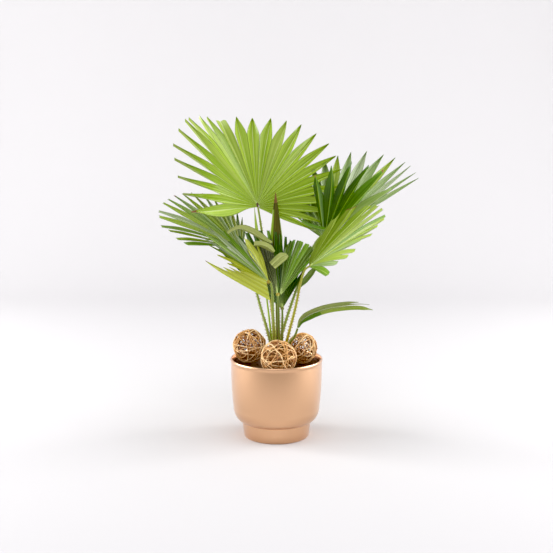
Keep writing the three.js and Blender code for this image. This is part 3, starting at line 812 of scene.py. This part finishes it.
def draw_stalk(name, path, finishes, radii, thorny=(0.12, 0.9), crown=None):
    """One stalk, replacing its solid, with a dome where its leaflets meet, and thorns."""
    shape = Shape()
    radius = lambda u: lerp(radii[0], radii[1], u)
    joint = lambda share, turn: 1 if share > 0.97 else 0
    add_tube(shape, path, radius, lambda u: STALK_DEPTH * radius(u), ACROSS, 12, (0, 1), joint)
    if crown:
        foot, out, up = crown
        dome = [foot + up * height for height, _ in DOME]
        bulge = lambda u: HASTULA_RADIUS * DOME[round(3 * u)][1]
        add_tube(shape, dome, bulge, bulge, out, 12, (0, 1), lambda share, turn: 1)
    piece(name + "_skin", shape, finishes, (name,))
    length = sum((b - a).length for a, b in zip(path, path[1:]))
    for k in range(int(length / THORN_SPACING)):
        u = (k + thorn_rng.uniform(-0.25, 0.25)) * THORN_SPACING / length
        if not thorny[0] < u < thorny[1]:
            continue
        i = int(u * (len(path) - 1))
        up, out = course(path[i:i + 2], 0, ACROSS)
        middle = path[i].lerp(path[i + 1], u * (len(path) - 1) - i)
        for way in (-1, 1):
            edge = middle + out * (way * 0.93 * radius(u))
            add_thorn(edge, out * way, up, thorn_rng.uniform(2.0, 3.2) * lerp(1.0, 0.6, u))


# %% Draw the stalks
for stalk_name, (frond_name, (x, y), bow, skin, joint_skin) in STALKS.items():
    frond = FRONDS[frond_name]
    hub, start = Vector(frond["hub"]), Vector((x, y, UPRIGHT))
    half_way = start.lerp(hub, 0.5) + ACROSS * bow
    end = hub + frond["axes"][0] * frond["costa"]
    path = smooth_path([(x, y, STUMP_TOP), start, half_way, hub, end], 40)
    crown = (ray(frond, 0.5)[0], frond["axes"][0], facing(frond, 0.5))
    draw_stalk(stalk_name, path, [skin, joint_skin], (STALK_FOOT, STALK_TIP), crown=crown)
strap_stalk = [(15, -9, STUMP_TOP), (15, -9, UPRIGHT), (36, -17, 212), (43, -19.5, 230)]
draw_stalk("stalk_strap", smooth_path(strap_stalk, 24), [SHADED_STALK] * 2, (3.0, 2.2), (0.1, 0.5))
piece("thorns", thorns, [THORN])
print("thorns:", len(thorns.points) // 12)

# %% [markdown]
# ## Closed leaves
# New leaves rise out of the middle as tight spears: a whole fan, still folded, standing on edge.
# Its pleats show as ridges that run up to one sharp tip. The large spear is olive brown with pale
# green edges and a dry tip. The small one is still yellow green. A tube whose rings are toothed
# makes such a closed fan.

# %% One closed leaf
CLOSED_SIDES, CLOSED_STEPS = 24, 48
CLOSED_DEPTH = 0.3  # a closed blade's thickness, as a share of its width
PINCH = 0.22  # depth of its ridges, as a share of its radius


def closed_leaf(name, points, half_width, low, high, tone, finishes):
    """A thin stalk that swells into a long pleated blade and narrows to a point."""
    stem = lambda u: lerp(2.6, 0.5, u)
    swell = lambda u: smoothstep(u, low, high) * min(1.0, (1 - u) / (1 - high)) ** 0.85
    width = lambda u: max(stem(u), half_width * swell(u))
    depth = lambda u: max(stem(u), CLOSED_DEPTH * width(u))
    shape, path = Shape(), smooth_path(points, CLOSED_STEPS)
    add_tube(shape, path, width, depth, ACROSS, CLOSED_SIDES, (0, 1), tone)
    for i, middle in enumerate(path):
        pinch = PINCH * smoothstep(i / CLOSED_STEPS, low, high)
        for at in range(i * CLOSED_SIDES + 1, (i + 1) * CLOSED_SIDES, 2):
            shape.points[at] = shape.points[at].lerp(middle, pinch)
    piece(name + "_pleats", shape, finishes, (name,), 20.0)


# %% Draw the spears
def spear_tone(share, turn):
    """0 body, 1 and 3 the left and right edges, 2 dry tip."""
    on_right, on_left = min(turn, 1 - turn), abs(turn - 0.5)
    if share > 0.94:
        return 2
    if on_left < 0.15 and share < 0.9:
        return 1
    return 3 if on_right < 0.09 and share < 0.88 else 0


SPEAR = [(1, 4, STUMP_TOP), (1, 4, UPRIGHT), (-1, 24, 330), (-1, 31, 420), (-2, 31, 503)]
YOUNG = [(-9, 12, STUMP_TOP), (-9, 12, UPRIGHT), (-26, 28, 330), (-41, 46, 425), (-46, 60, 470)]
spear_skins = [LEAF["olive"], LEAF["bright"], DRY, LEAF["fresh"]]
closed_leaf("spear_leaf", SPEAR, 13.4, 0.4, 0.72, spear_tone, spear_skins)
young_skins = [LEAF["yellow"], LEAF["bright"]]
young_tone = lambda share, turn: 0 if turn < 0.5 else 1
closed_leaf("young_leaf", YOUNG, 5, 0.4, 0.76, young_tone, young_skins)
print("spears: 2")

# %% [markdown]
# ## Straps and bent tips
# One leaf on the right has only three leaflets, joined side by side, and arches out like a strap
# with split ends. Some leaflets of the middle frond are bent over at their tips and show their
# straw-coloured backs. All are sheets along a path, with one fold for each leaflet.


# %% One leaflet of a strap
def add_strap(shape, path, width, side, span, lane, tone, ends=1.0, lift=0.0, taper=None):
    """One leaflet of a strap. span is its share of the strap's width, from -1 to 1."""
    rows, last, middle = [], len(path) - 1, sum(span) / 2
    for i in range(int(last * ends) + 1):
        u = i / last
        forward, across = course(path, i, side)
        up = forward.cross(across)
        narrow = lerp(1.0, 0.16, smoothstep(u, ends - taper, ends)) if taper else 1.0
        half = (span[1] - span[0]) / 2 * narrow
        centre = path[i] + across * (lift * max(u - 0.7, 0.0) ** 2 / 0.09)
        row = []
        for x in COLUMNS:
            height = PLEAT * width(u) * half * (2 * abs(x) - 1)
            row.append(centre - across * (width(u) * (middle + half * x)) + up * height)
        rows.append(row)
    add_sheet(shape, rows, LEAF_THICKNESS, lane, tone)


# %% Draw the strap
STRAP_POINTS = [
    (43.6, -19.7, 231.8), (50, -22, 246), (62, -26, 257), (95, -35, 273), (139, -48, 283),
    (166, -55, 285), (191.5, -62, 281),
]
STRAP_HALF = 10.8  # mm, half the strap's width
strap_width = lambda u: STRAP_HALF * smoothstep(u, -0.1, 0.22) * lerp(1, 0.85, smoothstep(u, 0.75, 1))
STRAP_SPLITS = (  # span, where the leaflet ends, how far its end stands up, and its taper
    ((-1.0, -0.4), 0.85, 2.5, 0.16), ((-0.4, 0.0), 0.97, 6.5, 0.4), ((0.0, 1.0), 1.0, -0.5, 0.13),
)
STRAP_LEAN = Vector((-0.2, -0.45, 0.87))
strap, strap_path = Shape(), smooth_path(STRAP_POINTS, 48)
for k, (span, *shaped) in enumerate(STRAP_SPLITS):
    # The lowest leaflet is a darker green along its first third: painted shade on that part of the strap.
    tone = (lambda i, top: 0) if k < 2 else (lambda i, top: 1 if i < 17 else 2)
    add_strap(strap, strap_path, strap_width, STRAP_LEAN, span, (k, 3), tone, *shaped)
strap_skins = [LEAF["dusty"], LEAF["mid"], LEAF["fresh"]]
piece("strap_leaflets", strap, strap_skins, ("strap_blade",), 40.0)
print("leaflets of the strap:", len(STRAP_SPLITS))

# %% Draw the bent leaflets
BENT = {  # the path, half width, side, bluntness, finishes above and below, slot and folds
    "leaflet_bent_long": (
        [(-11, -5, 404), (-21, -16, 410), (-45, -30, 428), (-70, -42, 439), (-86, -48, 436),
         (-96.5, -50, 429)],
        8, (0.3, -0.55, 0.78), 0.6, ("straw", "straw"), "leaf_grey", 1,
    ),
    "leaflet_bent_short": (
        [(-5, -8, 386), (-17, -18, 397), (-31, -27, 404), (-45, -31, 405)],
        7, (0.2, -0.4, 0.9), 1, ("straw", "straw"), "leaf_grey", 1,
    ),
    "leaflet_bent_flap": (
        [(22, -3, 379), (11, -12, 375.5), (0, -18, 367), (-8.5, -20, 359.5)],
        10, (0.75, -0.25, -0.6), 1, ("straw", "straw"), "leaf_grey", 2,
    ),
    "leaflet_hanging": (
        [(81, 0, 354), (72, 6, 342), (62, 10, 328.5), (50, 13, 314), (43, 15, 301)],
        6, (0.8, -0.2, -0.55), 0.1, ("pale", "sage"), "leaf_dark", 1,
    ),
    "leaflet_crossing": (
        [(113, 15, 429), (95, 10, 430), (79, 8, 434), (62, 9, 440), (42, 13, 454)],
        4.5, (0.1, -0.4, 0.9), 0.2, ("mid", "mid"), "leaf_bright", 1,
    ),
}
for name, (points, half_width, side, blunt, skins, slot, folds) in BENT.items():
    bent, path = Shape(), smooth_path(points, 20)
    taper = lambda u: lerp(1, lerp(0.12, 0.9, blunt), smoothstep(u, 0.55, 1))
    width = lambda u: half_width * lerp(0.5, 1, smoothstep(u, 0, 0.3)) * taper(u)
    for k in range(folds):
        span = (-1 + 2 * k / folds, -1 + 2 * (k + 1) / folds)
        add_strap(bent, path, width, Vector(side), span, (k, folds), lambda i, top: 0 if top else 1)
    piece(name + "_sheet", bent, [LEAF[skin] for skin in skins], (name,), 40.0)
print("bent leaflets:", len(BENT))

# %% [markdown]
# ## Pot
# The pot is stoneware sprayed with a metallic copper-gold coat and left satin. It is turned: a
# foot, a round shoulder, a wall that opens slightly, and a rolled lip. The metal flakes give a
# soft, even gloss, so the finish is a full metal at a roughness near 0.3 under a satin lacquer.
# The inside wall is a dark, dull brown, painted shade for the inside of the pot. A lathe of the solid's
# outline, with more steps and a straighter wall, never more than 1 mm from it, gives the smooth wall.

# %% A lathe, and the pot's outer face
POT_SIDES = 128
FOOT_RADIUS, FLOOR, WALL = 66.4, 6.0, 4.0  # mm
BOWL_FOOT, BOWL_TOP, BOWL_DEPTH = 32.2, 63.0, 31.6  # mm, the round shoulder's ends and depth
BOWL_CENTRE, BOWL_REACH = 65.5, 23.7  # mm, where its curve is struck from, and how far out
LIP_FOOT, WALL_TOP = 156.3, 93.7  # mm, height of the lip's foot, and the wall's radius there
WALL_BEND = 2.6  # more keeps the wall straighter towards the lip


def outer_radius(z):
    """Radius of the pot's outer face at height z."""
    if z < BOWL_FOOT:
        return lerp(FOOT_RADIUS + 1.3, 70.7, z / BOWL_FOOT)
    if z < BOWL_TOP:
        return BOWL_CENTRE + BOWL_REACH * sqrt(1 - ((BOWL_TOP - z) / BOWL_DEPTH) ** 2)
    t = (z - BOWL_TOP) / (LIP_FOOT - BOWL_TOP)
    return lerp(WALL_TOP, 89.2, (1 - t) ** WALL_BEND)


def turned(shape, profile, sides, bump=None, tone=lambda i, k: 0):
    """A closed body turned about the z axis. bump(place) may move a point."""
    rings, reached = [], 0.0
    for i, (r, z) in enumerate(profile):
        reached += dist(profile[max(i - 1, 0)], (r, z))
        along, level = reached / ALONG_STEP, i / len(profile)
        if r == 0:
            rings.append([shape.point(Vector((0, 0, z)), (0, along), (0.5, level))] * sides)
            continue
        ring = []
        for k in range(sides):
            turn = 2 * pi * k / sides
            place = Vector((r * cos(turn), r * sin(turn), z))
            place = bump(place) if bump else place
            ring.append(shape.point(place, (k / sides, along), (k / sides, level)))
        rings.append(ring)
    join_rings(shape, rings, tone, capped=False)


# %% The pot's outline
LIP = ((0, -0.1), (0.3, 1.2), (0.7, 2.6), (1.1, 4.1), (1.3, 5.6), (1.1, 6.9), (0.4, 7.9), (-0.7, 8.4),
       (-1.9, 7.9), (-2.7, 6.2))
outer_heights = [16.0, 30.8, 32.0, 32.2, 32.6, 33.4, *(34.5 + 2.6 * k for k in range(11)), BOWL_TOP]
outer_heights += [BOWL_TOP + 9.2 * k for k in range(1, 10)] + [155.2]
inner_heights = [155.2, 130.0, 105.0, 80.0, BOWL_TOP, 52.0, 44.0, 38.0, 34.0]
pot_profile = [(0, 0), (64.9, 0), (65.9, 0.25), (FOOT_RADIUS, 1), (67.4, 2.4)]
pot_profile += [(outer_radius(z), z) for z in outer_heights]
pot_profile += [(WALL_TOP + r, LIP_FOOT + z) for r, z in LIP]
inside_from = len(pot_profile)
pot_profile += [(outer_radius(z) - WALL, z) for z in inner_heights]
pot_profile += [(66.7, 29.0), (64.4, FLOOR), (0, FLOOR)]
print("points in the pot's outline:", len(pot_profile))

# %% Turn the pot
SPRAY = 900.0  # specks in a metre: 1.1 mm each, coarser than real spray, so that they show
COPPER, copper_shader = new_finish("copper_gold_coat", 0xDEB088, 0.31, metallic=1.0, ior=1.5)
copper_shader.inputs["Coat Weight"].default_value = 0.8
copper_shader.inputs["Coat Roughness"].default_value = 0.3
where = add_node(COPPER, "ShaderNodeTexCoord")["Object"]
specks = {"Vector": where, "Scale": SPRAY, "Detail": 2.0}
flakes = add_node(COPPER, "ShaderNodeTexNoise", inputs=specks)
orange_peel = {"Strength": 0.06, "Distance": 0.0003, "Height": flakes[0]}
link(COPPER, add_node(COPPER, "ShaderNodeBump", inputs=orange_peel)[0], copper_shader, "Normal")

PAINTED_INSIDE_SHADE, _ = new_finish("pot_inside_painted_shade", 0x6E4C34, 0.7)  # painted shade: the inside wall is dark brown and dull
pot = Shape()
turned(pot, pot_profile, POT_SIDES, tone=lambda i, k: 1 if i >= inside_from else 0)
made = piece("pot_turned", pot, [COPPER, PAINTED_INSIDE_SHADE], ("pot",), 30.0)
print("pot faces:", len(made.data.polygons))

# %% [markdown]
# ## Soil
# The soil is dark potting earth, heaped a little towards the back. It is moist and crumbly, so it
# has no gloss, only lighter and darker clods. A disc with seeded noise gives the heap. Small
# uneven lumps from 2 mm to 6 mm lie on it, as crumbs and bits of paler bark do.

# %% Soil finishes
CLODS = 160.0  # clods in a metre of soil, 6 mm each


def mottled(name, base, low, high, roughness, scale, stretch=1.0):
    """A rough finish in two tones, its shader, and the noise that mixes them. A stretch under 1
    draws the noise out upwards."""
    finish, shader = new_finish(name, base, roughness)
    where = add_node(finish, "ShaderNodeTexCoord")["Object"]
    drawn_out = add_node(finish, "ShaderNodeMapping", inputs={0: where, 3: (1.0, 1.0, stretch)})
    grain = {"Vector": drawn_out[0], "Scale": scale}
    mottle = add_node(finish, "ShaderNodeTexNoise", inputs=grain)[0]
    tones = {0: mottle, 6: linear(low), 7: linear(high)}
    mixed = add_node(finish, "ShaderNodeMix", {"data_type": "RGBA"}, tones)
    link(finish, mixed[2], shader, "Base Color")
    return finish, shader, mottle


EARTH, earth_shader, clods = mottled("potting_earth", 0x5C4230, 0x463020, 0x86603E, 0.95, CLODS)
crumbly = {"Strength": 0.6, "Distance": 0.001, "Height": clods}
link(EARTH, add_node(EARTH, "ShaderNodeBump", inputs=crumbly)[0], earth_shader, "Normal")
BARK, _ = new_finish("bark_crumbs", 0x8A6240, 0.9)
print("soil finishes: 2")

# %% Heap the soil
SOIL_HEIGHT, SOIL_SINK, SOIL_BASE = 145.5, 1.6, 120.0  # mm
SOIL_SLOPE = 0.155  # rise for each mm towards the back
SOIL_SIDES, SOIL_RINGS = 72, 22


def soil_height(x, y):
    """Height of the loose soil, a little under the flat heap of the solid."""
    rough = noise.noise(Vector((x, y, 0)) / 14) + 0.5 * noise.noise(Vector((x, y, 9)) / 5)
    return SOIL_HEIGHT + SOIL_SLOPE * y - SOIL_SINK + rough


def uneven(place):
    """Lifts a point of the soil's top to the height of the heap."""
    if place.z < SOIL_HEIGHT:
        return place
    return Vector((place.x, place.y, soil_height(place.x, place.y)))


soil = Shape()
soil_radius = outer_radius(130) - WALL - 0.5
under = [(0, SOIL_BASE), (outer_radius(SOIL_BASE) - WALL - 0.5, SOIL_BASE)]
top = [(soil_radius * (1 - k / SOIL_RINGS), SOIL_HEIGHT) for k in range(SOIL_RINGS)]
turned(soil, under + top, SOIL_SIDES, uneven)
last_ring = len(soil.points) - SOIL_SIDES
centre = soil.point(Vector((0, 0, soil_height(0, 0))), (0, 0), (0.5, 0.99))
for k in range(SOIL_SIDES):
    soil.face((last_ring + k, last_ring + (k + 1) % SOIL_SIDES, centre))
print("faces of the heap:", len(soil.faces))

# %% Scatter crumbs and bark
CRUMBS, CRUMB_REACH, BARK_SHARE = 620, 84, 0.35  # how many, mm from the middle, bark among them
rng = random.Random("crumbs")


def add_crumb(shape, middle, size, rng, tone):
    """A small uneven lump: three rings of five corners."""
    rings = []
    turn = Matrix.Rotation(rng.uniform(0, 6.28), 3, "Z") @ Matrix.Rotation(rng.uniform(-0.6, 0.6), 3, "X")
    stretch = Vector((rng.uniform(0.8, 1.5), rng.uniform(0.6, 1.1), rng.uniform(0.4, 0.8)))
    for layer, wide in ((-1.0, 0.6), (0.1, 1.0), (0.9, 0.55)):
        ring = []
        for k in range(5):
            way = 2 * pi * (k + 0.3 * layer) / 5
            reach = wide * rng.uniform(0.75, 1.1)
            corner = Vector((cos(way) * reach, sin(way) * reach, layer))
            corner = turn @ Vector(a * b for a, b in zip(corner, stretch))
            ring.append(shape.point(middle + corner * size, (0, 0), (0.5, 0.5)))
        rings.append(ring)
    join_rings(shape, rings, lambda i, k: tone)


for _ in range(CRUMBS):
    way, reach = rng.uniform(0, 2 * pi), CRUMB_REACH * sqrt(rng.random())
    x, y = reach * cos(way), reach * sin(way)
    size = rng.uniform(0.9, 1.9)
    lump = Vector((x, y, soil_height(x, y) + 0.2 * size))
    add_crumb(soil, lump, size, rng, 1 if rng.random() < BARK_SHARE else 0)
piece("soil_heap", soil, [EARTH, BARK], ("soil",), 30.0)
print("soil faces:", len(soil.faces))

# %% [markdown]
# ## Fibrous stump
# Under the stalks sits a short stump of old leaf bases, wrapped in brown woven fibre, which is dry
# and has no gloss. It is a turned body with lobes, streaked by noise that is stretched upwards,
# and stiff loose fibres run up it and stick out a little.

# %% Turn the stump
STRANDS = 700.0  # strands in a metre: 1.4 mm each, coarser than the real ones, so that they show
STUMP_CENTRE = Vector((4.0, 4.0, 0.0))
FIBRE, _, _ = mottled("palm_fibre", 0x6A4A30, 0x3C2818, 0x94704C, 0.9, STRANDS, 0.12)


def shaggy(place):
    """Lobes of old leaf bases, and the sloping soil under them."""
    way = atan2(place.y, place.x)
    lobes = 0.90 + 0.06 * sin(5 * way + 1) + 0.03 * sin(11 * way)
    sunk = place.z if place.z > SOIL_HEIGHT else soil_height(place.x, place.y) + 0.6
    return STUMP_CENTRE + Vector((place.x * lobes, place.y * lobes, sunk))


stump = Shape()
stump_profile = [(0, 140.0), (20.5, 140.0), (21.5, 150.0), (20.5, 156.0), (19.0, 160.5)]
stump_profile += [(16.0, 163.2), (9.0, 164.3), (0, 164.6)]
turned(stump, stump_profile, 48, shaggy)
print("faces of the stump's body:", len(stump.faces))

# %% Wrap it in loose fibres
FIBRES, FIBRE_TOP = 260, 165.0 - 0.8  # how many, and the height in mm that none passes
LOOSE, _ = new_finish("loose_fibre", 0x7E5C3C, 0.85)
rng = random.Random("fibres")
for number in range(FIBRES):
    way = rng.uniform(0, 2 * pi)
    out = Vector((cos(way), sin(way), 0.0))
    foot = STUMP_CENTRE + out * rng.uniform(17, 20.5)
    foot.z = soil_height(foot.x, foot.y) + rng.uniform(1.5, 8)
    lean = Vector((rng.uniform(-0.3, 0.3), rng.uniform(-0.3, 0.3), 1.0)).normalized()
    long = min(rng.uniform(7, 16), (FIBRE_TOP - foot.z) / lean.z)
    strand = [foot, foot + lean * 0.5 * long + out * 0.5, foot + lean * long - out * 0.9]
    thin = lambda u: lerp(0.5, 0.16, u)
    add_tube(stump, smooth_path(strand, 4), thin, thin, ACROSS, 4, (number, FIBRES), lambda u, a: 1)
piece("stump_of_fibre", stump, [FIBRE, LOOSE], ("stump",), 40.0)
print("stump faces:", len(stump.faces))

# %% [markdown]
# ## Rattan balls
# Three balls of rattan lie on the soil around the stalks. Such a ball is wound by hand: one long
# cane runs round and round in slightly different great circles until it holds itself, and light
# still shows through. About fifty wobbly hoops, each in its own plane, make the same open shell.
# Peeled cane has a slight gloss, and dries to straw, honey or brown.

# %% Canes and sizes of the balls
CANE_TONES = (("light", 0xF0CB96, 0.45), ("honey", 0xD29E60, 0.5), ("brown", 0x8E5A2A, 0.6))
CANES = [new_finish("rattan_cane_" + tone, *look)[0] for tone, *look in CANE_TONES]
HOOP_STEPS, CANE_SIDES = 56, 5
BALLS = {  # the middle and the radius in mm, and the number of hoops
    "rattan_ball_left": ((-56, 18, 185.3), 36.3, 48),
    "rattan_ball_front": ((3.8, -53, 176.2), 38.0, 52),
    "rattan_ball_right": ((53, 12, 181.5), 33.5, 46),
}
print("balls:", len(BALLS))


# %% One hoop
def add_hoop(shape, middle, axis, radius, cane, rng, lane, tone):
    """A closed ring of cane that wanders a little off its circle."""
    steps, sides, first = HOOP_STEPS, CANE_SIDES, len(shape.points)
    across = axis.orthogonal().normalized()
    over = axis.cross(across)
    phase, wander = rng.uniform(0, 6.28), rng.uniform(1.0, 5.0)
    kink, waves = rng.uniform(0.3, 1.3), rng.choice((3, 4, 5, 7))
    for i in range(steps):
        turn = 2 * pi * i / steps
        out = across * cos(turn) + over * sin(turn)
        drift = axis * (wander * (sin(2 * turn + phase) + 0.4 * sin(waves * turn)))
        sunk = radius - kink * (1.0 + sin(waves * turn + phase))
        centre = middle + (out * radius + drift).normalized() * sunk
        for k in range(sides):
            twist = 2 * pi * k / sides
            place = centre + (out * cos(twist) + axis * sin(twist)) * cane
            strip = ((lane[0] + k / sides) / lane[1], i / steps)
            shape.point(place, (k / sides, i / steps), strip)
    for i in range(steps):
        for k in range(sides):
            j, n = (i + 1) % steps, (k + 1) % sides
            a, b = first + i * sides, first + j * sides
            shape.face((a + k, b + k, b + n, a + n), tone)


# %% Wind the balls
for name, (middle, radius, hoops) in BALLS.items():
    ball, rng = Shape(), random.Random(name)
    for number in range(hoops):
        axis = Vector(rng.gauss(0, 1) for _ in range(3)).normalized()
        cane = rng.uniform(0.65, 1.1)
        # A third of the hoops lie deeper in the shell and are all brown: painted shade for the dark
        # inside of the ball.
        inner_in_painted_shade = number % 3 == 0
        inside = radius - cane - (rng.uniform(3.0, 7.0) if inner_in_painted_shade else rng.uniform(0.4, 2.0))
        tone = 2 if inner_in_painted_shade else rng.choice((0, 0, 1, 1, 1, 2))
        add_hoop(ball, Vector(middle), axis, inside, cane, rng, (number, hoops), tone)
    piece(name + "_canes", ball, CANES, (name,), 50.0)
    print(name, "hoops:", hoops)
